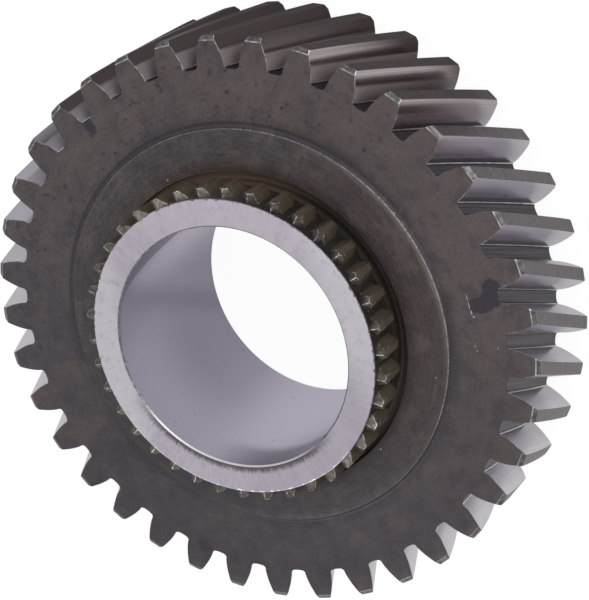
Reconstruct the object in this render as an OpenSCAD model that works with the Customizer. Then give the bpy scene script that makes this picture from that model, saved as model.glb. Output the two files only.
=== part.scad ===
// Helical gear with a toothed clutch ring on its hub, millimetres.
// The axis is Z, the hub's nose points up, the thrust boss stands on z = 0
// and one rim tooth is centred on +X at the rim's front face.

/* [Rim teeth] */
// number of teeth on the rim
teeth = 37; // [34:1:44]
// normal module, mm
tooth_module = 4; // [3.7:0.05:4.5]
// helix angle at the pitch circle, degrees, right hand
helix = 21.5; // [12:0.5:28]
// normal pressure angle, degrees
pressure_n = 17.5; // [15:0.5:20]
// height of a tooth above the pitch circle
addendum = 4.27; // [3.2:0.01:5]
// depth of a gap below the pitch circle
dedendum = 4.9; // [4.2:0.01:6]
// thickness of a tooth round the pitch circle, across the axis
tooth_w = 7; // [5.8:0.05:7.6]
// depth of the rounded floor of a gap
root_round = 1.05; // [0.6:0.05:1.4]

/* [Rim] */
// length of the toothed rim along the axis
face_w = 39; // [24:0.5:60]
// chamfer on the tooth tips, across
tip_cut = 1.25; // [0.3:0.05:2]
// chamfer on the tooth tips, along the axis
tip_cut_len = 0.8; // [0.3:0.05:2]

/* [Web] */
// diameter where the front web meets the flat rim face
web_d = 119; // [117.6:0.1:132]
// width of the small slope at the edge of the web
web_slope_w = 1.2; // [0.4:0.1:1.8]
// height of the web's outer edge above the rim face
web_edge_h = 1.05; // [0.3:0.05:2]
// height of the web's inner edge above the rim face
web_inner_h = 2.4; // [2.1:0.05:4]
// width of the relief groove round the hub
groove_w = 3.6; // [2:0.1:6]
// depth of the relief groove below the rim face
groove_depth = 2; // [0.2:0.1:6]
// radius in the corners of the relief groove
groove_fillet = 1; // [0.3:0.1:2]

/* [Hub] */
// diameter of the bore
bore_d = 70; // [60:0.5:76]
// diameter of the hub's nose
nose_d = 86; // [82:0.1:88]
// height of the nose face above the rim face
nose_h = 15.5; // [13:0.1:24]
// chamfer at the front mouth of the bore
bore_cut = 0.4; // [0.2:0.05:1.2]
// chamfer at the back mouth of the bore
back_cut = 0.7; // [0.2:0.05:1.5]
// diameter of the thrust boss at the back
boss_d = 96; // [88:1:120]
// height of the thrust boss behind the rim
boss_h = 2.5; // [1:0.1:6]
// chamfer round the thrust boss
boss_cut = 0.6; // [0.2:0.1:0.9]

/* [Clutch ring] */
// number of clutch teeth
dogs = 38; // [24:1:42]
// height of a clutch tooth above the nose
dog_h = 2.75; // [1.8:0.05:3.6]
// width of a clutch tooth on top
dog_top_w = 2.3; // [1.6:0.05:3]
// width of a clutch tooth at its base
dog_base_w = 5.4; // [4:0.05:5.7]
// slope of the pointed front end, degrees
dog_slope = 40; // [25:1:50]
// distance of the pointed end below the nose face
dog_setback = 0.67; // [0.2:0.01:2]
// gap between the rim face and the square back ends
dog_lift = 5; // [3.6:0.1:7]
// turn of the clutch teeth against the rim teeth, degrees
dog_turn = 6.89; // [0:0.01:9.4]

/* [Hidden] */

slices = 6;
flank_steps = 4;
root_steps = 3;
fillet_steps = 4;
eps = 0.02;
spare = 1;

pitch_r = teeth * tooth_module / cos(helix) / 2;
tip_r = pitch_r + addendum;
root_r = pitch_r - dedendum;
pressure_t = atan(tan(pressure_n) / cos(helix));
base_r = pitch_r * cos(pressure_t);
tooth_pitch = 360 / teeth;
twist_all = face_w * tan(helix) / pitch_r * 180 / PI;
join_r = max(root_r + root_round, base_r + 0.02);
round_r = join_r - root_r;

rim_z0 = boss_h;
rim_z1 = rim_z0 + face_w;
nose_z = rim_z1 + nose_h;
nose_r = nose_d / 2;
bore_r = bore_d / 2;
boss_r = boss_d / 2;
web_r = web_d / 2;
web_top_r = web_r - web_slope_w;
groove_r = nose_r + groove_w;
dog_r = nose_r + dog_h;
dog_z0 = rim_z1 + dog_lift;
ridge_z = nose_z - dog_setback;

// involute of an angle, in degrees
function inv(a) = tan(a) * 180 / PI - a;

// half the angle a tooth takes up at a radius
function half_at(r) = tooth_w / pitch_r * 90 / PI
    + inv(pressure_t) - inv(acos(min(1, base_r / r)));

function polar(r, a) = [r * cos(a), r * sin(a)];

// right-hand side of one gap's rounded floor, then the flank up to the tip
gap_half = tooth_pitch / 2 - half_at(join_r);
floor_pts = [for (i = [0 : root_steps]) let (t = 90 * i / root_steps)
    [join_r - round_r * cos(t), -tooth_pitch / 2 + gap_half * sin(t)]];
flank_pts = [for (i = [1 : flank_steps]) let (r = join_r + (tip_r - join_r) * i / flank_steps)
    [r, -half_at(r)]];
right_side = concat(floor_pts, flank_pts);
side_n = len(right_side);
left_side = [for (i = [side_n - 1 : -1 : 1]) [right_side[i][0], -right_side[i][1]]];
tooth_side = concat(right_side, left_side);

module tooth_outline() {
    polygon([for (k = [0 : teeth - 1]) for (q = tooth_side) polar(q[0], q[1] + k * tooth_pitch)]);
}

// the toothed rim: a twisted outline, its tips chamfered at both ends
module rim() {
    spare_len = tip_cut_len * (1 + spare / tip_cut);
    intersection() {
        translate([0, 0, rim_z0 - eps])
            rotate([0, 0, -twist_all * (1 + eps / face_w)])
                linear_extrude(height = face_w + 2 * eps, twist = -twist_all * (1 + 2 * eps / face_w),
                               slices = slices)
                    tooth_outline();
        rotate_extrude($fn = 180)
            polygon([[web_r, rim_z0], [tip_r - tip_cut, rim_z0], [tip_r + spare, rim_z0 + spare_len],
                     [tip_r + spare, rim_z1 - spare_len], [tip_r - tip_cut, rim_z1], [web_r, rim_z1]]);
    }
}

// points of a quarter arc from angle a to angle b round [x, y]
function arc(x, y, r, a, b) = [for (i = [0 : fillet_steps]) let (t = a + (b - a) * i / fillet_steps)
    [x + r * cos(t), y + r * sin(t)]];

// web, relief groove, nose and thrust boss in one turning
module hub() {
    floor_z = rim_z1 - groove_depth;
    corner = min(groove_fillet, groove_w / 2 - eps);
    rotate_extrude($fn = 180)
        polygon(concat(
            [[0, 0], [boss_r - boss_cut, 0], [boss_r, boss_cut], [boss_r, rim_z0], [web_r, rim_z0],
             [web_r, rim_z1], [web_top_r, rim_z1 + web_edge_h], [groove_r, rim_z1 + web_inner_h]],
            arc(groove_r - corner, floor_z + corner, corner, 0, -90),
            arc(nose_r + corner, floor_z + corner, corner, -90, -180),
            [[nose_r, nose_z], [0, nose_z]]));
}

// one bar of the clutch ring along +X, pointed on top
module dog_bar() {
    lean = (dog_base_w - dog_top_w) / 2 / dog_h;
    foot = dog_base_w / 2 + lean * spare;
    head = dog_top_w / 2 - lean * spare;
    side = foot + spare;
    drop = side * tan(dog_slope);
    intersection() {
        translate([0, 0, dog_z0])
            linear_extrude(height = nose_z - dog_z0)
                polygon([[nose_r - spare, -foot], [dog_r + spare, -head],
                         [dog_r + spare, head], [nose_r - spare, foot]]);
        translate([nose_r - 2 * spare, 0, 0])
            rotate([90, 0, 90])
                linear_extrude(height = dog_h + 4 * spare)
                    polygon([[-side, dog_z0 - drop], [side, dog_z0 - drop],
                             [side, ridge_z - drop], [0, ridge_z], [-side, ridge_z - drop]]);
    }
}

module dog_ring() {
    intersection() {
        for (k = [0 : dogs - 1]) rotate([0, 0, dog_turn + k * 360 / dogs]) dog_bar();
        translate([0, 0, dog_z0 - spare]) cylinder(r = dog_r, h = nose_z - dog_z0 + 2 * spare, $fn = 180);
    }
}

// a cone that opens outwards at one mouth of the bore
module mouth(cut) {
    cylinder(r1 = bore_r, r2 = bore_r + cut + spare, h = cut + spare, $fn = 180);
}

module bore() {
    translate([0, 0, -spare]) cylinder(r = bore_r, h = nose_z + 2 * spare, $fn = 180);
    translate([0, 0, nose_z - bore_cut]) mouth(bore_cut);
    translate([0, 0, back_cut]) mirror([0, 0, 1]) mouth(back_cut);
}

module helical_gear() {
    color([0.33, 0.31, 0.31]) difference() {
        union() {
            rim();
            hub();
            dog_ring();
        }
        bore();
    }
}

helical_gear();
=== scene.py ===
"""Helical gear with a clutch ring: the finished look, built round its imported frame."""

import math

import bmesh
import bpy
from bpy.props import FloatProperty, FloatVectorProperty, IntProperty, PointerProperty
from mathutils import Euler, Matrix, Vector, noise


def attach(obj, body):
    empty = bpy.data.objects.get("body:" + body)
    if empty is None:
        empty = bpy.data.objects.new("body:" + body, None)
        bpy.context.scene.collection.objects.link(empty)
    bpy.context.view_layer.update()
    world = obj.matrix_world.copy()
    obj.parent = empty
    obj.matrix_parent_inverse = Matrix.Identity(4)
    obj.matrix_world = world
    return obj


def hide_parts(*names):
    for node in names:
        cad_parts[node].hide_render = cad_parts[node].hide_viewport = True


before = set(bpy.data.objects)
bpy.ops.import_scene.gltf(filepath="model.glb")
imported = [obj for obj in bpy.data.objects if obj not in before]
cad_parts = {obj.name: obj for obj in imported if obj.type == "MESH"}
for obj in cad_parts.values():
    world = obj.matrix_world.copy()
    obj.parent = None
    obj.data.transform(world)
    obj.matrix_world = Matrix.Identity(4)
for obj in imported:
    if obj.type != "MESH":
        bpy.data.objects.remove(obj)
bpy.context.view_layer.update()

bl_info = {
    "name": "Helical gear",
    "version": (1, 0, 0),
    "blender": (4, 5, 0),
    "location": "3D View > Sidebar > Gear",
    "description": "Builds a helical gear with a clutch ring and its stage",
    "category": "Add Mesh",
}

NODE = "helical_gear"
MM = 0.001
MERGE = 1e-6
SLACK = 1e-7
# turn of the teeth along the axis, radians per millimetre
HELIX_TWIST = -0.004952

# columns across half a tooth, from the middle of a gap to the middle of a land
FLOOR_COLS = 7
LEDGE_COLS = 1
FLANK_COLS = 8
CORNER_COLS = 1
LAND_COLS = 3
# rows along the rim between the tip chamfers, and within one
RIM_ROWS = 20
CHAMFER_ROWS = 3
# angles above which an edge is broken or shaded sharp
BREAK_ANGLE = math.radians(20)
SHARP_ANGLE = math.radians(28)
# steps of the curved slope at the web's edge, and how its two ends bend
SLOPE_STEPS = 5
SLOPE_BEND = (0.75, 1.7)
# strip of the neck that is built with the clutch teeth, and the fillet at the boss
NECK_STRIP = 0.9 * MM
BOSS_FILLET = 0.4 * MM
# grain of the nicks in the nose edge, per millimetre, and the deepest against the named depth
NICK_COARSE = 1.1
NICK_FINE = 3.0
NICK_REACH = 1.5
# steps round the hub for one clutch tooth and its gap, and steps across the tooth itself
SECTOR_STEPS = 16
DOG_STEPS = 12
# least upward tilt of a face that belongs to a clutch tooth's point
POINT_TILT = 0.3

# finish on a tooth's tip by the kind of the row, and strips that it changes further down
TIP_FINISHES = {"end": "worn_edge", "cut": "tip_chamfer", "edge": "worn_edge", "run": "tip_land"}
ROW_FINISHES = {("ledge", "end"): "end_edge", ("ground_flank", "end"): "end_edge",
                ("worn_edge", "run"): "tip_land"}


# sizes

def length(name, text, value):
    return FloatProperty(name=name, description=text, default=value * MM, min=0.0,
                         unit="LENGTH", precision=5)


def angle(name, text, degrees):
    return FloatProperty(name=name, description=text, default=math.radians(degrees),
                         unit="ROTATION", subtype="ANGLE")


def colour(name, text, value):
    return FloatVectorProperty(name=name, description=text, default=value, size=3,
                               min=0.0, max=1.0, subtype="COLOR")


class GearSizes(bpy.types.PropertyGroup):
    """Sizes of the gear."""
    teeth: IntProperty(name="Teeth", description="Number of rim teeth", default=37, min=8)
    tooth_module: length("Normal module", "Normal module of the rim teeth", 4.0)
    helix: angle("Helix", "Helix angle at the pitch circle, right hand", 21.5)
    pressure: angle("Pressure angle", "Normal pressure angle", 17.5)
    addendum: length("Addendum", "Tooth height above the pitch circle", 4.27)
    dedendum: length("Dedendum", "Gap depth below the pitch circle", 4.9)
    tooth_w: length("Tooth width", "Tooth thickness round the pitch circle", 7.0)
    root_round: length("Root rounding", "Depth of the rounded gap floor", 0.45)
    ledge: length("Grinding ledge", "Width of the ledge where the grinding stops", 0.24)
    tip_break: length("Tip edge", "Broken edge along a tooth tip", 0.15)
    end_break: length("End edge", "Broken edge round the tooth ends", 0.12)
    face_w: length("Rim width", "Length of the rim along the axis", 39.0)
    tip_cut: length("Tip chamfer", "Tip chamfer across", 1.25)
    tip_cut_len: length("Tip chamfer length", "Tip chamfer along the axis", 0.8)
    web_d: length("Web diameter", "Where the front web meets the rim face", 119.0)
    web_slope_w: length("Web slope", "Width of the slope at the web's edge", 1.2)
    web_edge_h: length("Web edge height", "Web height at its outer edge", 1.05)
    web_inner_h: length("Web inner height", "Web height at the relief groove", 2.4)
    web_break: length("Web edge", "Broken edges of the web", 0.3)
    groove_w: length("Groove width", "Width of the relief groove", 3.6)
    groove_depth: length("Groove depth", "Depth of the groove below the rim face", 2.0)
    groove_fillet: length("Groove fillet", "Radius in the groove's corners", 1.0)
    bore_d: length("Bore", "Diameter of the bore", 70.0)
    bore_cut: length("Front bore chamfer", "Chamfer at the front mouth", 0.4)
    back_cut: length("Back bore chamfer", "Chamfer at the back mouth", 0.7)
    nose_d: length("Nose", "Diameter of the hub's nose", 86.0)
    nose_h: length("Nose height", "Nose face above the rim face", 15.5)
    nose_break: length("Nose edge", "Broken edge round the nose face", 0.15)
    nose_nick: length("Nose nicks", "Depth of the nicks in the nose edge", 0.55)
    boss_d: length("Boss", "Diameter of the thrust boss", 96.0)
    boss_h: length("Boss height", "Thrust boss behind the rim", 2.5)
    boss_cut: length("Boss chamfer", "Chamfer round the thrust boss", 0.6)
    dogs: IntProperty(name="Clutch teeth", description="Number of clutch teeth",
                      default=38, min=6)
    dog_h: length("Clutch tooth height", "Clutch tooth above the nose", 2.75)
    dog_top_w: length("Clutch tooth top", "Width on top of a clutch tooth", 2.3)
    dog_slope: angle("Clutch tooth point", "Slope of the pointed front end", 40.0)
    dog_setback: length("Clutch setback", "Point of a clutch tooth below the nose face", 0.67)
    dog_lift: length("Clutch lift", "Square back ends above the rim face", 5.0)
    dog_turn: angle("Clutch turn", "Clutch teeth against the rim teeth", 6.89)
    dog_break: length("Clutch edge", "Broken edges of a clutch tooth", 0.22)
    neck_lift: length("Neck", "Clean part of the neck above the rim face", 2.25)


class GearColours(bpy.types.PropertyGroup):
    """Colours of the finishes."""
    oxide: colour("Oxide", "Dark oiled faces", (0.100, 0.077, 0.077))
    oxide_cool: colour("Cool oxide", "Greyer part of the dark faces", (0.066, 0.056, 0.064))
    stain: colour("Stain", "Nearly black stains", (0.034, 0.029, 0.042))
    web_warm: colour("Warm web", "Brown part of the web", (0.072, 0.050, 0.046))
    web_cool: colour("Cool web", "Grey part of the web", (0.070, 0.060, 0.063))
    groove: colour("Groove", "Relief groove", (0.058, 0.046, 0.038))
    ground: colour("Ground steel", "Ground nose face", (0.64, 0.585, 0.665))
    bore: colour("Bore", "Ground bore", (0.50, 0.465, 0.565))
    flank: colour("Flank", "Ground tooth flanks", (0.62, 0.590, 0.645))
    land: colour("Tooth tip", "Tooth tips", (0.165, 0.144, 0.153))
    chamfer: colour("Tip chamfer", "Chamfers on the tooth tips", (0.20, 0.19, 0.20))
    clutch: colour("Clutch tooth", "Clutch teeth", (0.158, 0.130, 0.098))
    bright: colour("Bright edge", "Worn and broken edges", (0.62, 0.60, 0.60))


class Shade:
    """Shades that the finishes lay over their main colours."""
    face_stroke = (0.028, 0.022, 0.022)
    face_pale = (0.13, 0.115, 0.112)
    face_ring = (0.17, 0.15, 0.15)
    face_slope_shade = (0.024, 0.021, 0.026)
    face_cloud = (0.044, 0.036, 0.050)
    face_haze = (0.125, 0.100, 0.095)
    face_pit = (0.030, 0.026, 0.028)
    face_grit = (0.15, 0.135, 0.135)
    face_rim_highlight = (0.30, 0.28, 0.28)
    face_side_shade = (0.014, 0.012, 0.020)
    face_foot_shadow = (0.020, 0.017, 0.020)
    face_fleck = (0.026, 0.023, 0.026)
    face_chip = (0.52, 0.50, 0.50)
    floor_dark = (0.032, 0.028, 0.034)
    floor_pale = (0.112, 0.099, 0.112)
    floor_patch = (0.080, 0.069, 0.074)
    floor_side = (0.014, 0.012, 0.014)
    flank_line = (0.38, 0.36, 0.39)
    flank_cloud = (0.44, 0.42, 0.45)
    flank_shade_brown = (0.42, 0.335, 0.30)
    flank_shade_grey = (0.26, 0.25, 0.29)
    worn_dull = (0.22, 0.21, 0.21)
    edge_far_shade = (0.14, 0.13, 0.135)
    ledge_dull = (0.62, 0.60, 0.64)
    ledge_bright = (0.92, 0.90, 0.94)
    end_dark = (0.15, 0.14, 0.14)
    end_pale = (0.36, 0.34, 0.35)
    land_drag = (0.098, 0.086, 0.087)
    land_fleck = (0.030, 0.026, 0.026)
    chamfer_dark = (0.10, 0.095, 0.10)
    mouth_dark = (0.16, 0.15, 0.17)
    mouth_pale = (0.30, 0.29, 0.32)
    mouth_highlight = (0.85, 0.82, 0.84)
    web_dark = (0.14, 0.13, 0.132)
    web_wear_highlight = (0.30, 0.285, 0.29)
    web_highlight_bright = (0.46, 0.44, 0.44)
    web_plain = (0.060, 0.051, 0.050)
    ring_streak = (0.36, 0.33, 0.38)
    ring_fine = (0.32, 0.29, 0.34)
    ring_broad = (0.70, 0.65, 0.73)
    ring_highlight = (0.80, 0.76, 0.80)
    ring_side_shade = (0.34, 0.31, 0.37)
    ring_side_light = (0.78, 0.72, 0.80)
    ring_patch = (0.38, 0.35, 0.40)
    ring_smudge = (0.075, 0.068, 0.075)
    bore_line = (0.32, 0.30, 0.37)
    bore_reflection_light = (0.74, 0.69, 0.81)
    bore_reflection_dim = (0.29, 0.265, 0.33)
    bore_shade_band = (0.22, 0.20, 0.26)
    bore_reflection_pale = (0.72, 0.66, 0.80)
    bore_painted_shade = (0.22, 0.20, 0.24)
    bore_fleck = (0.16, 0.14, 0.18)
    clutch_dark = (0.125, 0.103, 0.076)
    clutch_brown = (0.150, 0.112, 0.075)
    point_dark = (0.085, 0.076, 0.066)
    point_pale = (0.165, 0.152, 0.14)
    break_dull = (0.13, 0.112, 0.088)
    break_bright = (0.52, 0.50, 0.48)
    neck_dark = (0.034, 0.029, 0.025)
    neck_pale = (0.055, 0.048, 0.043)
    neck_brown = (0.20, 0.165, 0.14)
    neck_cool = (0.044, 0.039, 0.044)
    groove_pale = (0.07, 0.06, 0.052)
    groove_brown = (0.24, 0.165, 0.12)


# tooth form

class ToothForm:
    """One tooth of the rim across the axis, with half a gap on each side."""

    def __init__(self, s):
        self.sizes = s
        self.pitch_r = s.teeth * s.tooth_module / math.cos(s.helix) / 2
        self.tip_r = self.pitch_r + s.addendum
        self.root_r = self.pitch_r - s.dedendum
        self.step = 2 * math.pi / s.teeth
        self.pressure = math.atan(math.tan(s.pressure) / math.cos(s.helix))
        self.base_r = self.pitch_r * math.cos(self.pressure)
        self.floor_r = self.root_r + s.root_round
        self.twist = math.tan(s.helix) / self.pitch_r
        self.cols = 2 * (FLOOR_COLS + LEDGE_COLS + FLANK_COLS + CORNER_COLS + LAND_COLS)

    def half(self, r):
        """Half the angle that the tooth takes up at radius r."""
        a = math.acos(min(1.0, self.base_r / r))
        return (self.sizes.tooth_w / 2 / self.pitch_r + math.tan(self.pressure)
                - self.pressure - math.tan(a) + a)

    def side(self, tip_r):
        """Radius and angle from the middle of the gap to the middle of the land."""
        s = self.sizes
        foot_r = self.floor_r + s.ledge
        gap = self.step / 2 - self.half(foot_r) - s.ledge / foot_r
        points = []
        for i in range(FLOOR_COLS + 1):
            t = math.pi / 2 * i / FLOOR_COLS
            points.append((self.floor_r - (self.floor_r - self.root_r) * math.cos(t),
                           gap * math.sin(t) - self.step / 2))
        top_r = tip_r - s.tip_break
        for i in range(FLANK_COLS + 1):
            r = foot_r + (top_r - foot_r) * i / FLANK_COLS
            points.append((r, -self.half(r)))
        edge = self.half(tip_r) - s.tip_break / tip_r
        for i in range(LAND_COLS + 1):
            points.append((tip_r, -edge * (1 - i / LAND_COLS)))
        return points

    def section(self, tip_r, inset):
        """The whole section as plane points, pulled inwards by inset."""
        side = self.side(tip_r)
        polar = side + [(r, -a) for r, a in reversed(side[:-1])]
        flat = [Vector((r * math.cos(a), r * math.sin(a))) for r, a in polar]
        last = len(flat) - 1
        pulled = []
        for i, p in enumerate(flat):
            if i in (0, last):
                inward = -p.normalized()
            else:
                run = flat[i + 1] - flat[i - 1]
                inward = Vector((-run.y, run.x)).normalized()
            pulled.append(p + inward * inset)
        return pulled

    def finish_of(self, column, kind):
        """Name of the finish on one face, by its column and the kind of its row."""
        i = min(column, self.cols - 1 - column)
        for count, name in ((FLOOR_COLS, "gap_floor"), (LEDGE_COLS, "ledge"),
                            (FLANK_COLS, "ground_flank"), (CORNER_COLS, "worn_edge")):
            if i < count:
                return ROW_FINISHES.get((name, kind), name)
            i -= count
        return TIP_FINISHES[kind]


def rim_rows(s):
    """Each row's height above the rim's back face, tip chamfer left and inset, and the kinds
    of the strips between the rows."""
    end, edge = s.end_break, s.tip_cut_len + s.end_break
    near = [(0.0, s.tip_cut, end)]
    for i in range(CHAMFER_ROWS + 1):
        z = end + (s.tip_cut_len - end) * i / CHAMFER_ROWS
        near.append((z, s.tip_cut * (1 - z / s.tip_cut_len), 0.0))
    near.append((edge, 0.0, 0.0))
    kinds = ["end"] + ["cut"] * CHAMFER_ROWS + ["edge"]
    clear = s.face_w - 2 * edge
    middle = [(edge + clear * i / RIM_ROWS, 0.0, 0.0) for i in range(1, RIM_ROWS)]
    far = [(s.face_w - z, cut, inset) for z, cut, inset in reversed(near)]
    return near + middle + far, kinds + ["run"] * RIM_ROWS + kinds[::-1]


def finish_index(name):
    return FINISHES.index(name)


def turn_copies(bm, count):
    """Repeats everything in the mesh round the axis."""
    bmesh.ops.spin(bm, geom=bm.verts[:] + bm.edges[:] + bm.faces[:], cent=(0, 0, 0),
                   axis=(0, 0, 1), dvec=(0, 0, 0), angle=2 * math.pi * (count - 1) / count,
                   steps=count - 1, use_merge=False, use_duplicate=True)
    bmesh.ops.remove_doubles(bm, verts=bm.verts, dist=MERGE)


def join_into(bm, other):
    """Adds the other mesh to bm and frees it."""
    kept = bpy.data.meshes.new("part")
    other.to_mesh(kept)
    other.free()
    bm.from_mesh(kept)
    bpy.data.meshes.remove(kept)


def toothed_rim(s):
    """The sides of all rim teeth: one tooth's grid laid on the helix, then repeated."""
    form = ToothForm(s)
    rows, kinds = rim_rows(s)
    bm = bmesh.new()
    bmesh.ops.create_grid(bm, x_segments=form.cols, y_segments=len(rows) - 1, size=0.5)
    sections = [form.section(form.tip_r - cut, inset) for z, cut, inset in rows]
    for face in bm.faces:
        middle = face.calc_center_median()
        column = int((middle.x + 0.5) * form.cols)
        row = int((middle.y + 0.5) * (len(rows) - 1))
        face.material_index = finish_index(form.finish_of(column, kinds[row]))
    for v in bm.verts:
        i = round((v.co.x + 0.5) * form.cols)
        j = round((v.co.y + 0.5) * (len(rows) - 1))
        z = rows[j][0]
        p = sections[j][i]
        turned = Matrix.Rotation((z - s.face_w) * form.twist, 2) @ p
        v.co = (turned.x, turned.y, s.boss_h + z)
    turn_copies(bm, s.teeth)
    return bm


# hub

def arc(x, y, r, start, end, steps=6):
    """Points of an arc; the angles are in degrees."""
    spread = [math.radians(start + (end - start) * i / steps) for i in range(steps + 1)]
    return [(x + r * math.cos(t), y + r * math.sin(t)) for t in spread]


def hub_profiles(s):
    """The turned profiles, as a finish and its points, radius and height."""
    rim_z = s.boss_h + s.face_w
    nose_z = rim_z + s.nose_h
    web_r = s.web_d / 2
    nose_r = s.nose_d / 2
    bore_r = s.bore_d / 2
    boss_r = s.boss_d / 2
    groove_r = nose_r + s.groove_w
    floor_z = rim_z - s.groove_depth
    f = s.groove_fillet
    edge = s.web_break
    web_top = (web_r - s.web_slope_w, rim_z + s.web_edge_h)
    web_in = (groove_r, rim_z + s.web_inner_h)
    web_run = [(web_top[0] - edge + (web_in[0] + edge - web_top[0] + edge) * i / 3,
                web_top[1] + (web_in[1] - web_top[1]) * i / 3) for i in range(4)]
    neck_z = rim_z + s.neck_lift
    low = rim_z + s.dog_lift - NECK_STRIP
    across, rise = SLOPE_BEND
    foot = [(web_r - s.web_slope_w * (i / SLOPE_STEPS) ** across,
             rim_z + (s.web_edge_h - edge) * (i / SLOPE_STEPS) ** rise)
            for i in range(SLOPE_STEPS + 1)]
    return [
        ("oxide_face", foot),
        ("web_edge", [foot[-1], (web_top[0] - edge * 0.3, web_top[1] - edge * 0.3), web_run[0]]),
        ("oxide_face", web_run),
        ("web_edge", [web_run[-1], (web_in[0] + edge * 0.25, web_in[1] - edge * 0.25),
                      (web_in[0], web_in[1] - edge)]),
        ("groove", [(web_in[0], web_in[1] - edge)]
         + arc(groove_r - f, floor_z + f, f, 0, -90) + arc(nose_r + f, floor_z + f, f, -90, -180)
         + [(nose_r, neck_z)]),
        ("neck", [(nose_r, neck_z), (nose_r, low)]),
        ("mouth", [(nose_r, nose_z - s.nose_break), (nose_r - s.nose_break, nose_z)]),
        ("ground_ring", [(nose_r - s.nose_break, nose_z), ((nose_r + bore_r) / 2, nose_z),
                         (bore_r + s.bore_cut, nose_z)]),
        ("mouth", [(bore_r + s.bore_cut, nose_z), (bore_r, nose_z - s.bore_cut)]),
        ("ground_bore", [(bore_r, nose_z - s.bore_cut), (bore_r, nose_z * 0.66),
                         (bore_r, nose_z * 0.33), (bore_r, s.back_cut),
                         (bore_r + s.back_cut, 0.0)]),
        ("oxide_face", [(bore_r + s.back_cut, 0.0), (boss_r - s.boss_cut, 0.0),
                        (boss_r, s.boss_cut), (boss_r, s.boss_h - BOSS_FILLET),
                        (boss_r + BOSS_FILLET, s.boss_h), (web_r, s.boss_h)]),
    ]


def spin_chain(bm, points, start, turn, steps, merge):
    """Spins a chain of profile points about the axis and returns the new faces."""
    before = set(bm.faces)
    verts = [bm.verts.new((r * math.cos(start), r * math.sin(start), z)) for r, z in points]
    edges = [bm.edges.new(pair) for pair in zip(verts, verts[1:])]
    bmesh.ops.spin(bm, geom=verts + edges, cent=(0, 0, 0), axis=(0, 0, 1), dvec=(0, 0, 0),
                   angle=turn, steps=steps, use_merge=merge, use_duplicate=False)
    return [f for f in bm.faces if f not in before]


def turned_hub(s):
    bm = bmesh.new()
    start = s.dog_turn - math.pi / s.dogs
    for finish, points in hub_profiles(s):
        for face in spin_chain(bm, points, start, 2 * math.pi, s.dogs * SECTOR_STEPS, True):
            face.material_index = finish_index(finish)
    return bm


def clutch_ring(s):
    """One clutch tooth raised from its strip of the neck, edges broken, then repeated."""
    rim_z = s.boss_h + s.face_w
    nose_z = rim_z + s.nose_h
    nose_r = s.nose_d / 2
    dog_r = nose_r + s.dog_h
    low = rim_z + s.dog_lift
    ridge = nose_z - s.dog_setback
    step = 2 * math.pi / s.dogs / SECTOR_STEPS
    half_base = nose_r * math.sin(step * DOG_STEPS / 2)
    shoulder = ridge - half_base * math.tan(s.dog_slope)
    heights = [low - NECK_STRIP, low, low + (shoulder - low) / 3, low + (shoulder - low) * 2 / 3,
               shoulder, nose_z - s.nose_break]
    bm = bmesh.new()
    faces = spin_chain(bm, [(nose_r, z) for z in heights], -step * SECTOR_STEPS / 2,
                       step * SECTOR_STEPS, SECTOR_STEPS, False)
    bmesh.ops.recalc_face_normals(bm, faces=faces)
    if faces[0].normal.dot(faces[0].calc_center_median()) < 0:
        bmesh.ops.reverse_faces(bm, faces=faces)
    for v in bm.verts:
        if abs(v.co.z - shoulder) < SLACK and abs(v.co.y) <= half_base + SLACK:
            v.co.z = ridge - abs(v.co.y) * math.tan(s.dog_slope)
    foot = []
    for face in bm.faces:
        middle = face.calc_center_median()
        inside = all(abs(v.co.y) <= half_base + SLACK for v in face.verts)
        face.material_index = finish_index("neck")
        roof = ridge - abs(middle.y) * math.tan(s.dog_slope)
        if inside and low < middle.z < roof - SLACK:
            foot.append(face)
            face.material_index = finish_index("clutch_tooth")
    raised = bmesh.ops.extrude_face_region(bm, geom=foot)["geom"]
    top = [g for g in raised if isinstance(g, bmesh.types.BMVert)]
    left = [f for f in foot if f.is_valid]
    bmesh.ops.delete(bm, geom=left, context="FACES")
    narrow = math.asin(s.dog_top_w / 2 / dog_r) / (step * DOG_STEPS / 2)
    for v in top:
        a = math.atan2(v.co.y, v.co.x) * narrow
        under_roof = ridge - abs(v.co.y) * math.tan(s.dog_slope)
        on_roof = abs(v.co.z - under_roof) < SLACK
        v.co.x = dog_r * math.cos(a)
        v.co.y = dog_r * math.sin(a)
        if on_roof:
            v.co.z = ridge - abs(v.co.y) * math.tan(s.dog_slope)
    for face in bm.faces:
        if any(v.co.xy.length > nose_r + SLACK for v in face.verts):
            face.material_index = finish_index("clutch_tooth")
    bm.normal_update()
    for face in bm.faces:
        if face.normal.z > POINT_TILT and face.calc_center_median().z > low + SLACK:
            face.material_index = finish_index("clutch_point")
    sharp = [e for e in bm.edges if len(e.link_faces) == 2 and e.is_convex
             and e.calc_face_angle(0.0) > BREAK_ANGLE
             and any(v.co.xy.length > nose_r + SLACK for v in e.verts)]
    made = bmesh.ops.bevel(bm, geom=sharp, offset=s.dog_break, offset_type="OFFSET",
                           segments=2, profile=0.5, affect="EDGES", material=-1,
                           clamp_overlap=True)
    for face in made["faces"]:
        face.material_index = finish_index("clutch_edge")
    bmesh.ops.rotate(bm, verts=bm.verts, cent=(0, 0, 0),
                     matrix=Matrix.Rotation(s.dog_turn, 3, "Z"))
    turn_copies(bm, s.dogs)
    return bm


def close_ring(bm, z, finish):
    """Fills the flat ring between the toothed outline and the hub at height z."""
    rim = [e for e in bm.edges if e.is_boundary
           and all(abs(v.co.z - z) < MERGE for v in e.verts)]
    made = bmesh.ops.triangle_fill(bm, use_beauty=True, use_dissolve=False, edges=rim)
    for face in made["geom"]:
        if isinstance(face, bmesh.types.BMFace):
            face.material_index = finish_index(finish)


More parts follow.
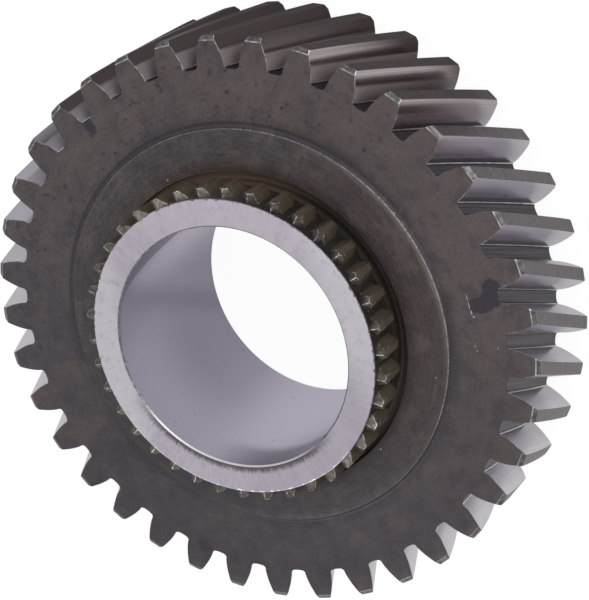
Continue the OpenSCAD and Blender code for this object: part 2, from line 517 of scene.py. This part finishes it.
def nick_nose_edge(bm, s):
    """Pushes the outer edge of the nose face in by small uneven amounts."""
    nose_z = s.boss_h + s.face_w + s.nose_h
    edge_r = s.nose_d / 2 - s.nose_break
    for v in bm.verts:
        if abs(v.co.z - nose_z) < MERGE and abs(v.co.xy.length - edge_r) < MERGE:
            rough = noise.noise(v.co * NICK_COARSE / MM) + 0.5 * noise.noise(v.co * NICK_FINE / MM)
            v.co.xy *= 1 - s.nose_nick * max(0.0, rough) / edge_r


def keep_nose_flat(mesh, s):
    """Marks the nicked edge sharp, so that the nose face is shaded flat right up to it."""
    nose_z = s.boss_h + s.face_w + s.nose_h
    edge_r = s.nose_d / 2 - s.nose_break - s.nose_nick * NICK_REACH
    for edge in mesh.edges:
        ends = [mesh.vertices[i].co for i in edge.vertices]
        if all(co.z > nose_z - MERGE and co.xy.length > edge_r for co in ends):
            edge.use_edge_sharp = True


def gear_mesh(s):
    bm = toothed_rim(s)
    join_into(bm, turned_hub(s))
    join_into(bm, clutch_ring(s))
    bmesh.ops.remove_doubles(bm, verts=bm.verts, dist=MERGE)
    nick_nose_edge(bm, s)
    close_ring(bm, s.boss_h + s.face_w, "oxide_face")
    close_ring(bm, s.boss_h, "oxide_face")
    bmesh.ops.recalc_face_normals(bm, faces=bm.faces)
    open_edges = [e for e in bm.edges if len(e.link_faces) != 2]
    if open_edges:
        bm.free()
        raise RuntimeError(f"the gear's mesh has {len(open_edges)} open edges")
    mesh = bpy.data.meshes.new("helical_gear_finish")
    bm.to_mesh(mesh)
    bm.free()
    mesh.shade_smooth()
    mesh.set_sharp_from_angle(angle=SHARP_ANGLE)
    keep_nose_flat(mesh, s)
    return mesh


# finishes

class Tree:
    """Short calls for building a node tree."""

    def __init__(self, tree):
        self.tree = tree

    def add(self, kind, **settings):
        node = self.tree.nodes.new(kind)
        for key, value in settings.items():
            setattr(node, key, value)
        return node

    def put(self, socket, value):
        if isinstance(value, bpy.types.NodeSocket):
            self.tree.links.new(value, socket)
        else:
            socket.default_value = value

    def math(self, operation, a, b=0.0, c=0.0, clamp=False):
        node = self.add("ShaderNodeMath", operation=operation, use_clamp=clamp)
        for socket, value in zip(node.inputs, (a, b, c)):
            self.put(socket, value)
        return node.outputs[0]

    def times(self, a, b):
        return self.math("MULTIPLY", a, b)

    def scaled(self, value, by, plus):
        return self.math("MULTIPLY_ADD", value, by, plus)

    def most(self, a, b):
        return self.math("MAXIMUM", a, b)

    def vector(self, operation, a, b=(0.0, 0.0, 0.0)):
        node = self.add("ShaderNodeVectorMath", operation=operation)
        self.put(node.inputs[0], a)
        self.put(node.inputs[1], b)
        return node.outputs["Value" if operation in ("LENGTH", "DOT_PRODUCT") else "Vector"]

    def ramp(self, value, low, high, out_low=0.0, out_high=1.0):
        node = self.add("ShaderNodeMapRange", clamp=True, interpolation_type="SMOOTHSTEP")
        for name, v in (("Value", value), ("From Min", low), ("From Max", high),
                        ("To Min", out_low), ("To Max", out_high)):
            self.put(node.inputs[name], v)
        return node.outputs["Result"]

    def mix(self, factor, a, b):
        node = self.add("ShaderNodeMix", data_type="RGBA")
        self.put(node.inputs["Factor"], factor)
        for socket, value in ((node.inputs[6], a), (node.inputs[7], b)):
            if not isinstance(value, bpy.types.NodeSocket) and len(value) == 3:
                value = (*value, 1.0)
            self.put(socket, value)
        return node.outputs[2]

    def noise(self, vector, scale, detail=2.0, roughness=0.5):
        node = self.add("ShaderNodeTexNoise", noise_dimensions="3D")
        for name, v in (("Vector", vector), ("Scale", scale), ("Detail", detail),
                        ("Roughness", roughness)):
            self.put(node.inputs[name], v)
        return node.outputs["Fac"]

    def place(self):
        """Place on the piece, in millimetres."""
        coords = self.add("ShaderNodeTexCoord")
        return self.vector("MULTIPLY", coords.outputs["Object"], (1000.0, 1000.0, 1000.0))

    def radius(self, place):
        return self.vector("LENGTH", self.vector("MULTIPLY", place, (1.0, 1.0, 0.0)))

    def split(self, vector):
        node = self.add("ShaderNodeSeparateXYZ")
        self.put(node.inputs[0], vector)
        return node.outputs

    def joined(self, *parts):
        node = self.add("ShaderNodeCombineXYZ")
        for socket, value in zip(node.inputs, parts):
            self.put(socket, value)
        return node.outputs[0]

    def turned(self, vector, turn):
        node = self.add("ShaderNodeVectorRotate", rotation_type="Z_AXIS")
        self.put(node.inputs["Vector"], vector)
        self.put(node.inputs["Angle"], turn)
        return node.outputs[0]

    def toward(self, place, azimuth, start, end):
        """Grows from 0 to 1 across the piece, from start to end mm along an azimuth."""
        a = math.radians(azimuth)
        along = self.vector("DOT_PRODUCT", place, (math.cos(a), math.sin(a), 0.0))
        return self.ramp(along, start, end)

    def group(self, tree, **inputs):
        node = self.add("ShaderNodeGroup", node_tree=tree)
        for name, value in inputs.items():
            self.put(node.inputs[name.replace("_", " ").title()], value)
        return node.outputs[0]


def new_group(name, inputs, output):
    """A shader group with named float inputs and one output."""
    group = bpy.data.node_groups.new(name, "ShaderNodeTree")
    for label, value in inputs:
        socket = group.interface.new_socket(label, in_out="INPUT", socket_type="NodeSocketFloat")
        socket.default_value = value
    group.interface.new_socket(output, in_out="OUTPUT", socket_type="NodeSocketFloat")
    tree = Tree(group)
    source = tree.add("NodeGroupInput")
    sink = tree.add("NodeGroupOutput")
    return group, tree, source.outputs, sink.inputs[0]


def turned_marks_group():
    """Noise that runs round the axis: long streaks round it, out from it or along the teeth."""
    group, t, given, result = new_group(
        "turned_marks", [("Round", 2.0), ("Outward", 1.0), ("Upward", 0.0), ("Twist", 0.0),
                         ("Seed", 0.0), ("Low", 0.35), ("High", 0.65)], "Marks")
    place = t.place()
    up = t.split(place)[2]
    undone = t.turned(place, t.times(up, given["Twist"]))
    flat = t.vector("MULTIPLY", undone, (1.0, 1.0, 0.0))
    x, y = t.split(t.vector("NORMALIZE", flat))[:2]
    out = t.times(t.vector("LENGTH", flat), given["Outward"])
    grain = t.joined(t.scaled(x, given["Round"], given["Seed"]), t.times(y, given["Round"]),
                     t.math("ADD", out, t.times(up, given["Upward"])))
    value = t.noise(grain, 1.0, 3.0, 0.6)
    t.put(result, t.ramp(value, given["Low"], given["High"]))
    return group


def spots_group():
    """Scattered spots where a noise is high."""
    group, t, given, result = new_group(
        "spots", [("Scale", 1.0), ("Low", 0.62), ("High", 0.68), ("Seed", 0.0)], "Spots")
    shifted = t.vector("ADD", t.place(), t.joined(given["Seed"]))
    value = t.noise(shifted, given["Scale"], 3.0, 0.55)
    t.put(result, t.ramp(value, given["Low"], given["High"]))
    return group


def stain_group():
    """One ragged stain: an ellipse with its long axis turned about Z."""
    group, t, given, result = new_group(
        "stain", [("X", 0.0), ("Y", 0.0), ("Length", 1.0), ("Width", 1.0), ("Turn", 0.0),
                  ("Edge", 0.3), ("Ragged", 0.5), ("Grain", 0.8)], "Stain")
    place = t.place()
    away = t.vector("SUBTRACT", place, t.joined(given["X"], given["Y"]))
    x, y = t.split(t.turned(away, t.times(given["Turn"], -1.0)))[:2]
    oval = t.joined(t.math("DIVIDE", x, given["Length"]), t.math("DIVIDE", y, given["Width"]))
    ragged = t.times(t.math("SUBTRACT", t.noise(place, given["Grain"], 3.0), 0.5),
                     given["Ragged"])
    reach = t.math("ADD", t.vector("LENGTH", oval), ragged)
    t.put(result, t.ramp(reach, 1.0, t.math("SUBTRACT", 1.0, given["Edge"])))
    return group


class FinishTree(Tree):
    """A material's node tree, with its shader and the shared groups."""

    def __init__(self, material, groups):
        super().__init__(material.node_tree)
        self.shader = material.node_tree.nodes["Principled BSDF"]
        self.groups = groups

    def marks(self, **inputs):
        return self.group(self.groups["marks"], **inputs)

    def spots(self, **inputs):
        return self.group(self.groups["spots"], **inputs)

    def patches(self, place, scale, low=0.35, high=0.65):
        return self.ramp(self.noise(place, scale, 3.0), low, high)

    def tint(self, base, colour, mask, share):
        """Lays a colour over the base where the mask is, up to a share."""
        return self.mix(self.times(mask, share), base, colour)

    def stains(self, stains):
        """The darkest of several stains at each point."""
        mask = None
        for azimuth, radius, reach, width, edge, ragged in stains:
            a = math.radians(azimuth)
            one = self.group(self.groups["stain"], x=radius * math.cos(a),
                             y=radius * math.sin(a), length=reach, width=width, turn=a,
                             edge=edge, ragged=ragged)
            mask = one if mask is None else self.most(mask, one)
        return mask

    def finish(self, base, roughness, height=None, strength=0.2, distance=0.05):
        """Feeds the shader; a height makes a bump, its distance in millimetres."""
        self.put(self.shader.inputs["Base Color"], base)
        self.put(self.shader.inputs["Roughness"], roughness)
        if height is not None:
            bump = self.add("ShaderNodeBump")
            bump.inputs["Strength"].default_value = strength
            bump.inputs["Distance"].default_value = distance * MM
            self.put(bump.inputs["Height"], height)
            self.put(self.shader.inputs["Normal"], bump.outputs[0])


# azimuth and radius in degrees and mm, half length outward, half width, edge, ragged
FACE_STAINS = (
    (81.2, 69.2, 4.1, 2.5, 0.15, 0.4),
    (82.0, 71.2, 2.6, 2.6, 0.15, 0.4),
    (84.4, 73.3, 2.9, 3.1, 0.15, 0.4),
    (82.3, 73.0, 2.8, 2.6, 0.15, 0.4),
    (200.1, 73.0, 3.2, 1.9, 0.3, 0.5),
    (322.1, 74.7, 2.2, 3.2, 0.5, 0.9),
    (125.9, 65.6, 0.9, 0.7, 0.6, 0.8),
    (162.3, 68.2, 0.8, 0.9, 0.6, 0.8),
    (148.3, 66.0, 0.7, 0.6, 0.6, 0.8),
    (151.3, 62.6, 0.6, 0.6, 0.6, 0.8),
    (199.3, 62.6, 0.8, 0.8, 0.6, 0.8),
)

# bright chips, in the same form
FACE_CHIPS = (
    (83.3, 65.7, 0.22, 1.2, 0.8, 0.7),
    (81.4, 65.7, 0.25, 1.5, 0.8, 0.7),
    (79.6, 65.9, 0.3, 1.1, 0.8, 0.7),
    (78.6, 66.3, 0.45, 0.45, 0.8, 0.7),
    (187.8, 48.0, 0.5, 0.35, 0.6, 0.8),
    (29.7, 48.4, 0.4, 0.3, 0.6, 0.8),
    (61.3, 55.0, 0.2, 0.35, 0.7, 0.9),
    (71.4, 65.6, 0.25, 0.4, 0.7, 0.9),
    (70.2, 66.2, 0.3, 0.25, 0.7, 0.9),
    (71.2, 72.1, 0.2, 0.4, 0.7, 0.9),
    (110.1, 58.3, 0.25, 0.3, 0.7, 0.8),
)


def oxide_face(t, c):
    """Turned faces, dark and oily, with speckles and stains, and painted shade and a painted
    highlight round the web.
    """
    place = t.place()
    out = t.radius(place)
    broad = t.ramp(t.noise(place, 0.035, 3.0, 0.55), 0.38, 0.62)
    warm = t.times(t.toward(place, 110.0, -75.0, 55.0), t.ramp(out, 50.0, 72.0, 0.35, 1.0))
    warm = t.math("MULTIPLY_ADD", broad, 0.35, t.times(warm, 0.75), clamp=True)
    base = t.mix(warm, c.oxide_cool, c.oxide)

    # the web: brown on the right, strokes round it, painted shade on its slope and a painted
    # highlight on its rim
    web = t.math("SUBTRACT", 1.0, t.ramp(out, 56.0, 60.0))
    brown = t.most(t.toward(place, 70.0, 0.0, 50.0),
                   t.times(t.ramp(out, 52.0, 48.0), t.toward(place, 150.0, 0.0, 40.0)))
    base = t.mix(web, base, t.mix(brown, c.web_cool, c.web_warm))
    worn = t.marks(round=11.0, outward=1.5, seed=21.0, low=0.45, high=0.7)
    base = t.tint(base, Shade.face_stroke, t.times(web, worn), 0.60)
    pale = t.marks(round=5.0, outward=0.5, seed=31.0, low=0.5, high=0.75)
    base = t.tint(base, Shade.face_pale, t.times(web, pale), 0.45)
    rings = t.marks(round=1.6, outward=1.5, low=0.35, high=0.75)
    base = t.tint(base, Shade.face_ring, rings, 0.10)
    # painted shade over the web's slope and round its foot, deepest on the near side
    ragged = t.math("ADD", out, t.times(broad, 2.0))
    shade_band = t.times(t.ramp(out, 58.15, 58.5), t.ramp(ragged, 59.6, 63.5, 1.0, 0.0))
    deep = t.scaled(t.toward(place, 100.0, 40.0, 62.0), 0.3, 0.45)
    base = t.tint(base, Shade.face_slope_shade, shade_band, deep)

    # clouds and grain all over
    mottle = t.noise(place, 0.16, 4.0, 0.6)
    base = t.mix(t.ramp(mottle, 0.50, 0.66, 0.0, 0.50), base, Shade.face_cloud)
    base = t.mix(t.ramp(mottle, 0.48, 0.34, 0.0, 0.45), base, Shade.face_haze)
    grain = t.noise(place, 1.6, 4.0, 0.65)
    base = t.mix(t.ramp(grain, 0.5, 0.72, 0.0, 0.35), base, Shade.face_pit)
    base = t.mix(t.ramp(grain, 0.48, 0.3, 0.0, 0.30), base, Shade.face_grit)

    # painted highlight along the web's rim on the near side, broken up by the pale strokes
    rim_highlight = t.times(t.ramp(out, 56.4, 58.0), t.toward(place, 97.0, 40.0, 57.0))
    rim_highlight = t.times(rim_highlight, t.scaled(pale, 0.45, 0.25))
    base = t.tint(base, Shade.face_rim_highlight, rim_highlight, t.ramp(out, 58.5, 58.2))
    # painted shade over the side towards azimuth 350, strongest on the web
    right = t.toward(place, 350.0, -30.0, 70.0)
    base = t.tint(base, Shade.face_side_shade, right, t.scaled(web, 0.25, 0.32))
    # painted shadow: a thin dark line at the foot of the web's slope on the far side
    foot_shadow = t.times(t.ramp(out, 59.0, 59.3), t.ramp(out, 60.3, 59.8))
    base = t.tint(base, Shade.face_foot_shadow, t.times(foot_shadow, t.toward(place, 190.0, 15.0, 45.0)), 0.6)

    # speckles, stains and chips
    many = t.toward(place, 200.0, -40.0, 70.0)
    base = t.tint(base, Shade.face_fleck, t.spots(scale=0.42, low=0.615, high=0.69),
                  t.scaled(many, 0.5, 0.12))
    near_web = t.times(t.ramp(out, 71.0, 62.0), t.toward(place, 193.0, 5.0, 60.0))
    base = t.tint(base, Shade.face_fleck, t.spots(scale=1.1, seed=40.0, low=0.57, high=0.66),
                  t.times(near_web, 0.6))
    base = t.mix(t.stains(FACE_STAINS), base, c.stain)
    base = t.tint(base, Shade.face_chip, t.stains(FACE_CHIPS), 0.7)
    rough = t.ramp(t.noise(place, 0.35, 4.0), 0.3, 0.7, 0.42, 0.56)
    t.finish(base, rough, t.noise(place, 3.0, 5.0, 0.65), 0.3)


def gap_floor(t, c):
    """Floors of the tooth gaps, drawn along the teeth by the cutter, with dark sides."""
    place = t.place()
    lines = t.marks(round=160.0, outward=3.0, upward=0.03, twist=HELIX_TWIST, low=0.3, high=0.7)
    base = t.mix(lines, Shade.floor_dark, Shade.floor_pale)
    base = t.tint(base, Shade.floor_patch, t.patches(place, 0.25), 0.4)
    base = t.tint(base, Shade.floor_side, t.ramp(t.radius(place), 74.75, 74.95), 0.8)
    t.finish(base, 0.42, lines, 0.1, 0.02)


def ground_flank(t, c):
    """Ground flanks, with fine lines along the teeth and painted shade on the far side; dull near
    the root on the far side.
    """
    place = t.place()
    lines = t.marks(round=130.0, outward=2.6, upward=0.05, twist=HELIX_TWIST,
                    low=0.25, high=0.75)
    base = t.tint(c.flank, Shade.flank_line, lines, 0.12)
    base = t.tint(base, Shade.flank_cloud, t.patches(place, 0.12), 0.25)
    reach = t.math("ADD", t.radius(place), t.times(lines, 0.5))
    dull = t.times(t.toward(place, 174.0, 44.0, 60.0), t.ramp(reach, 80.6, 79.6))
    # painted shade: browner flanks towards azimuth 158, greyer and darker ones towards 200
    base = t.tint(base, Shade.flank_shade_brown, t.toward(place, 158.0, 46.0, 68.0),
                  t.scaled(lines, 0.5, 0.3))
    base = t.tint(base, Shade.flank_shade_grey, t.toward(place, 200.0, 48.0, 74.0), 0.45)
    t.finish(base, t.math("ADD", t.ramp(lines, 0.0, 1.0, 0.2, 0.26), t.times(dull, 0.42)))


def worn_edge(t, c):
    """Broken edges, worn bright here and there, with painted shade on the side towards azimuth
    150.
    """
    place = t.place()
    base = t.mix(t.patches(place, 0.6), Shade.worn_dull, c.bright)
    # painted shade: darker edges on the side towards azimuth 150
    t.finish(t.mix(t.toward(place, 150.0, -50.0, 20.0), Shade.edge_far_shade, base), 0.36)


def ledge(t, c):
    """The bright ledge beside a gap's floor, where the grinding stops."""
    t.finish(t.mix(t.patches(t.place(), 0.5), Shade.ledge_dull, Shade.ledge_bright), 0.25)


def end_edge(t, c):
    """Edges between the tooth ends and the flanks, bright only in places."""
    worn = t.patches(t.place(), 0.45, 0.45, 0.62)
    t.finish(t.mix(worn, Shade.end_dark, Shade.end_pale), 0.5)


def mouth(t, c):
    """The chamfer at the front mouth of the bore and the nicked edge round the nose, with a
    painted highlight towards azimuth 335.
    """
    worn = t.marks(round=30.0, seed=11.0, low=0.4, high=0.6)
    base = t.mix(worn, Shade.mouth_dark, Shade.mouth_pale)
    # painted highlight on the side towards azimuth 335
    t.finish(t.mix(t.toward(t.place(), 335.0, 20.0, 30.0), base, Shade.mouth_highlight), 0.55)


def tip_land(t, c):
    """Tips of the rim teeth, dragged and flecked."""
    base = t.tint(c.land, Shade.land_drag, t.marks(round=10.0, upward=0.9, low=0.3, high=0.7), 0.5)
    base = t.tint(base, Shade.land_fleck, t.spots(scale=0.8, low=0.60, high=0.66), 0.4)
    t.finish(base, 0.45, t.noise(t.place(), 2.0, 4.0), 0.2, 0.04)


def tip_chamfer(t, c):
    t.finish(t.mix(t.patches(t.place(), 0.7), c.chamfer, Shade.chamfer_dark), 0.36)


def web_edge(t, c):
    """Edges of the web, grey in broken strokes of wear, shown as a painted highlight on the near
    and far sides and plain dark elsewhere.
    """
    place = t.place()
    worn = t.marks(round=90.0, outward=0.2, low=0.35, high=0.6)
    long = t.marks(round=3.0, outward=0.1, seed=5.0, low=0.4, high=0.6)
    base = t.mix(t.times(worn, t.scaled(long, 0.6, 0.4)), Shade.web_dark, Shade.web_wear_highlight)
    # painted highlight, brightest on the near side towards azimuth 97
    base = t.tint(base, Shade.web_highlight_bright, t.toward(place, 97.0, 47.0, 58.5),
                  t.scaled(worn, 0.5, 0.25))
    # the worn grey shows only as a painted highlight on the near side's outer edge and on the far
    # side; elsewhere the edge is plain dark
    near = t.times(t.toward(place, 95.0, 5.0, 50.0), t.ramp(t.radius(place), 50.0, 55.0))
    highlight_shown = t.most(near, t.toward(place, 178.0, 20.0, 52.0))
    t.finish(t.mix(highlight_shown, Shade.web_plain, base), 0.5)


def ground_ring(t, c):
    """The ground nose face, streaked outward, with a painted highlight in two sectors and painted
    shade and light towards two sides.
    """
    place = t.place()
    streaks = t.marks(round=78.0, outward=0.35, low=0.3, high=0.7)
    fine = t.marks(round=150.0, outward=0.6, seed=3.0, low=0.3, high=0.7)
    broad = t.marks(round=9.0, outward=0.02, seed=7.0, low=0.35, high=0.65)
    # painted highlight in two opposite sectors, as the streaks would catch the light
    bright = t.most(t.toward(place, 88.0, 30.0, 38.0), t.toward(place, 257.0, 28.0, 37.0))
    patch = t.ramp(t.noise(place, 0.5, 4.0, 0.6), 0.52, 0.7)
    worn = t.marks(round=60.0, outward=0.4, seed=15.0, low=0.3, high=0.7)
    reach = t.scaled(worn, -0.8, t.radius(place))
    smudge = t.times(t.toward(place, 337.0, 17.0, 30.0), t.ramp(reach, 37.4, 35.4))
    base = c.ground
    for colour, mask, share in (
            (Shade.ring_streak, streaks, 0.45), (Shade.ring_fine, fine, 0.30),
            (Shade.ring_broad, broad, 0.30), (Shade.ring_highlight, bright, 0.55),
            # painted shade towards azimuth 25, painted light towards 155
            (Shade.ring_side_shade, t.toward(place, 25.0, 20.0, 38.0), 0.30),
            (Shade.ring_side_light, t.toward(place, 155.0, 18.0, 38.0), 0.35),
            (Shade.ring_patch, patch, 0.35), (Shade.ring_smudge, smudge, 0.85)):
        base = t.tint(base, colour, mask, share)
    t.finish(base, t.ramp(streaks, 0.0, 1.0, 0.34, 0.44), streaks, 0.04, 0.01)


# across the slanted stripe of painted shade in the bore, which runs down from azimuth 263
SHADE_BAND_DIRECTION = (math.cos(math.radians(353.0)), math.sin(math.radians(353.0)), 0.0)


def ground_bore(t, c):
    """The ground bore, with painted reflections in lighter and dimmer zones, soft slanted painted
    shade, and zones of painted shade at its mouth.
    """
    place = t.place()
    up = t.split(place)[2]
    lines = t.marks(round=1.5, upward=3.0, low=0.3, high=0.7)
    base = t.tint(c.bore, Shade.bore_line, lines, 0.12)
    # painted reflections: lighter towards azimuths 352 and 203, dimmer towards 263
    light = t.most(t.toward(place, 352.0, 24.0, 35.0), t.toward(place, 203.0, 27.0, 36.0))
    base = t.mix(light, base, Shade.bore_reflection_light)
    base = t.tint(base, Shade.bore_reflection_dim, t.toward(place, 263.0, 22.0, 35.5), 0.5)
    # a soft slanted stripe of painted shade, leaning down from azimuth 263
    lean = t.scaled(up, 0.38, t.vector("DOT_PRODUCT", place, SHADE_BAND_DIRECTION))
    shade_band = t.times(t.ramp(lean, -4.0, 2.0), t.ramp(lean, 9.0, 2.0))
    shade_band = t.times(shade_band, t.toward(place, 258.0, 22.0, 31.0))
    base = t.tint(base, Shade.bore_shade_band, shade_band, 0.4)
    # painted reflection, paler higher up towards azimuth 287
    base = t.tint(base, Shade.bore_reflection_pale, t.toward(place, 287.0, 24.0, 35.0),
                  t.ramp(up, 20.0, 50.0, 0.0, 0.5))
    # the zones of painted shade end in slanted lines below the front mouth
    left = t.scaled(t.toward(place, 255.0, 19.0, 33.0), 26.0, 30.0)
    left = t.ramp(t.math("SUBTRACT", up, left), -0.5, 0.8)
    left = t.times(left, t.toward(place, 217.0, 24.0, 30.0))
    right = t.times(t.ramp(up, 42.0, 49.0), t.toward(place, 10.0, 22.0, 33.0))
    base = t.tint(base, Shade.bore_painted_shade, t.most(left, right), 0.75)
    base = t.tint(base, Shade.bore_fleck, t.spots(scale=0.7, seed=9.0, low=0.69, high=0.72), 0.6)
    t.finish(base, 0.32, lines, 0.05, 0.01)


def clutch_tooth(t, c):
    place = t.place()
    base = t.mix(t.patches(place, 0.5), c.clutch, Shade.clutch_dark)
    base = t.tint(base, Shade.clutch_brown, t.toward(place, 180.0, 15.0, 42.0), 0.7)
    t.finish(base, 0.42, t.noise(place, 3.0, 3.0), 0.2, 0.04)


def clutch_point(t, c):
    """Pointed front ends of the clutch teeth, rubbed paler."""
    t.finish(t.mix(t.patches(t.place(), 0.8), Shade.point_dark, Shade.point_pale), 0.42)


def clutch_edge(t, c):
    """Broken edges of the clutch teeth, bright only at the front ends."""
    place = t.place()
    front = t.times(t.patches(place, 0.9, 0.42, 0.62),
                    t.ramp(t.split(place)[2], 51.5, 53.5, 0.12, 1.0))
    t.finish(t.mix(front, Shade.break_dull, Shade.break_bright), 0.36)


def neck(t, c):
    """Neck between and just behind the clutch teeth."""
    place = t.place()
    base = t.mix(t.patches(place, 0.8), Shade.neck_dark, Shade.neck_pale)
    base = t.tint(base, Shade.neck_brown, t.toward(place, 205.0, 15.0, 42.0), 0.7)
    base = t.mix(t.toward(place, 315.0, 5.0, 35.0), base, Shade.neck_cool)
    t.finish(base, 0.45, t.noise(place, 3.0, 3.0), 0.2, 0.04)


def groove(t, c):
    rings = t.marks(round=1.0, outward=2.0, upward=2.0, low=0.3, high=0.7)
    base = t.mix(rings, c.groove, Shade.groove_pale)
    t.finish(t.tint(base, Shade.groove_brown, t.toward(t.place(), 185.0, 20.0, 42.0), 0.8), 0.5)


# what makes each finish, and how metallic it is, in the order of the material slots
MAKERS = ((oxide_face, 0.35), (gap_floor, 0.8), (ledge, 1.0), (ground_flank, 1.0),
          (worn_edge, 1.0), (end_edge, 0.9), (tip_land, 0.6), (tip_chamfer, 0.9),
          (web_edge, 0.8), (ground_ring, 1.0), (mouth, 0.9), (ground_bore, 1.0),
          (clutch_tooth, 0.5), (clutch_point, 0.8), (clutch_edge, 0.8), (neck, 0.5),
          (groove, 0.3))
FINISHES = [maker.__name__ for maker, metallic in MAKERS]


def make_finishes(c):
    """One material for each finish, in the order of FINISHES."""
    groups = {"marks": turned_marks_group(), "spots": spots_group(), "stain": stain_group()}
    made = []
    for maker, metallic in MAKERS:
        material = bpy.data.materials.new(maker.__name__)
        material.use_nodes = True
        t = FinishTree(material, groups)
        t.shader.inputs["Metallic"].default_value = metallic
        maker(t, c)
        made.append(material)
    return made


# operators

class MESH_OT_gear_body(bpy.types.Operator):
    """Build the gear as one closed piece with its finishes"""
    bl_idname = "mesh.gear_body"
    bl_label = "Gear"

    def execute(self, context):
        scene = context.scene
        piece = bpy.data.objects.new("helical_gear_finish", gear_mesh(scene.gear_sizes))
        for material in make_finishes(scene.gear_colours):
            piece.data.materials.append(material)
        scene.collection.objects.link(piece)
        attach(piece, "root")
        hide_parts(NODE)
        return {"FINISHED"}


FLOOR_REACH = 6.0
SKY_LIGHT = 0.66
# the camera fitted to the photograph
CAMERA_PLACE = (-0.122886, 0.351170, 0.580127)
CAMERA_TURN = (-0.394486, 0.444266, 1.140638)
CAMERA_LENS = 140.898
CAMERA_SHIFT = (0.00204, 0.00453)

LAMPS = (
    # name, place, size, power, colour
    ("key_lamp", (-0.45, 1.25, 0.95), 0.9, 8.0, (1.0, 0.99, 0.97)),
    ("fill_lamp", (1.25, -0.75, 0.95), 1.0, 6.0, (0.99, 0.99, 1.0)),
)


def shaded_floor(t, colour, glow=0.0):
    """A diffuse floor that can also glow."""
    diffuse = t.add("ShaderNodeBsdfDiffuse")
    diffuse.inputs["Color"].default_value = (*colour, 1.0)
    emission = t.add("ShaderNodeEmission")
    emission.inputs["Strength"].default_value = glow
    both = t.add("ShaderNodeAddShader")
    t.put(both.inputs[0], diffuse.outputs[0])
    t.put(both.inputs[1], emission.outputs[0])
    return both.outputs[0]


def floor_material():
    """Pale floor: white with a faint shadow to the camera, and in reflections a lit sheet with a
    dark painted shadow lying on its left side."""
    material = bpy.data.materials.new("floor")
    material.use_nodes = True
    t = Tree(material.node_tree)
    t.tree.nodes.clear()
    rays = t.add("ShaderNodeLightPath")
    seen = t.most(rays.outputs["Is Camera Ray"], rays.outputs["Is Transmission Ray"])
    place = t.place()
    # painted shadow on the floor, dark only in reflections
    reflected_shadow = t.times(t.toward(place, 105.0, -10.0, 35.0), t.toward(place, 180.0, 24.0, 48.0))
    reflected_shadow = t.times(reflected_shadow, rays.outputs["Is Glossy Ray"])
    result = shaded_floor(t, (0.80, 0.80, 0.80))
    white = shaded_floor(t, (0.10, 0.10, 0.10), 0.94)
    mirrored = shaded_floor(t, (0.40, 0.40, 0.40), 0.42)
    dark = shaded_floor(t, (0.13, 0.115, 0.11))
    for share, other in ((rays.outputs["Is Glossy Ray"], mirrored), (reflected_shadow, dark), (seen, white)):
        choose = t.add("ShaderNodeMixShader")
        t.put(choose.inputs[0], share)
        t.put(choose.inputs[1], result)
        t.put(choose.inputs[2], other)
        result = choose.outputs[0]
    out = t.add("ShaderNodeOutputMaterial")
    t.put(out.inputs["Surface"], result)
    return material


class SCENE_OT_gear_stage(bpy.types.Operator):
    """Set up the floor, the lamps and the camera"""
    bl_idname = "scene.gear_stage"
    bl_label = "Stage"

    def execute(self, context):
        scene = context.scene
        bm = bmesh.new()
        bmesh.ops.create_grid(bm, x_segments=1, y_segments=1, size=FLOOR_REACH)
        mesh = bpy.data.meshes.new("floor")
        bm.to_mesh(mesh)
        bm.free()
        floor = bpy.data.objects.new("floor", mesh)
        mesh.materials.append(floor_material())
        scene.collection.objects.link(floor)

        world = bpy.data.worlds.new("studio")
        world.use_nodes = True
        t = Tree(world.node_tree)
        rays = t.add("ShaderNodeLightPath")
        sky = world.node_tree.nodes["Background"]
        sky.inputs["Color"].default_value = (1.0, 1.0, 1.0, 1.0)
        # plain white to the camera, softer as a light
        t.put(sky.inputs["Strength"],
              t.ramp(rays.outputs["Is Camera Ray"], 0.0, 1.0, SKY_LIGHT, 1.0))
        scene.world = world

        for name, place, size, power, tint in LAMPS:
            data = bpy.data.lights.new(name, "AREA")
            data.shape = "DISK"
            data.size = size
            data.energy = power
            data.color = tint
            lamp = bpy.data.objects.new(name, data)
            lamp.location = place
            lamp.rotation_euler = (-Vector(place)).to_track_quat("-Z", "Y").to_euler()
            scene.collection.objects.link(lamp)

        data = bpy.data.cameras.new("camera")
        data.sensor_width = 36.0
        data.lens = CAMERA_LENS
        data.shift_x, data.shift_y = CAMERA_SHIFT
        camera = bpy.data.objects.new("camera", data)
        camera.location = CAMERA_PLACE
        camera.rotation_euler = Euler(CAMERA_TURN, "XYZ")
        scene.collection.objects.link(camera)
        scene.camera = camera
        scene.view_settings.view_transform = "Standard"
        return {"FINISHED"}


class VIEW3D_PT_gear(bpy.types.Panel):
    """Sidebar panel with the gear's sizes, colours and builders"""
    bl_idname = "VIEW3D_PT_gear"
    bl_label = "Helical gear"
    bl_space_type = "VIEW_3D"
    bl_region_type = "UI"
    bl_category = "Gear"

    def draw(self, context):
        layout = self.layout
        for group in (context.scene.gear_sizes, context.scene.gear_colours):
            column = layout.column(align=True)
            for key in group.__annotations__:
                column.prop(group, key)
        layout.operator("mesh.gear_body")
        layout.operator("scene.gear_stage")


CLASSES = (GearSizes, GearColours, MESH_OT_gear_body, SCENE_OT_gear_stage, VIEW3D_PT_gear)


def register():
    for cls in CLASSES:
        bpy.utils.register_class(cls)
    bpy.types.Scene.gear_sizes = PointerProperty(type=GearSizes)
    bpy.types.Scene.gear_colours = PointerProperty(type=GearColours)


def unregister():
    del bpy.types.Scene.gear_colours
    del bpy.types.Scene.gear_sizes
    for cls in reversed(CLASSES):
        bpy.utils.unregister_class(cls)


def main():
    register()
    bpy.ops.mesh.gear_body()
    bpy.ops.scene.gear_stage()


if __name__ == "__main__":
    main()
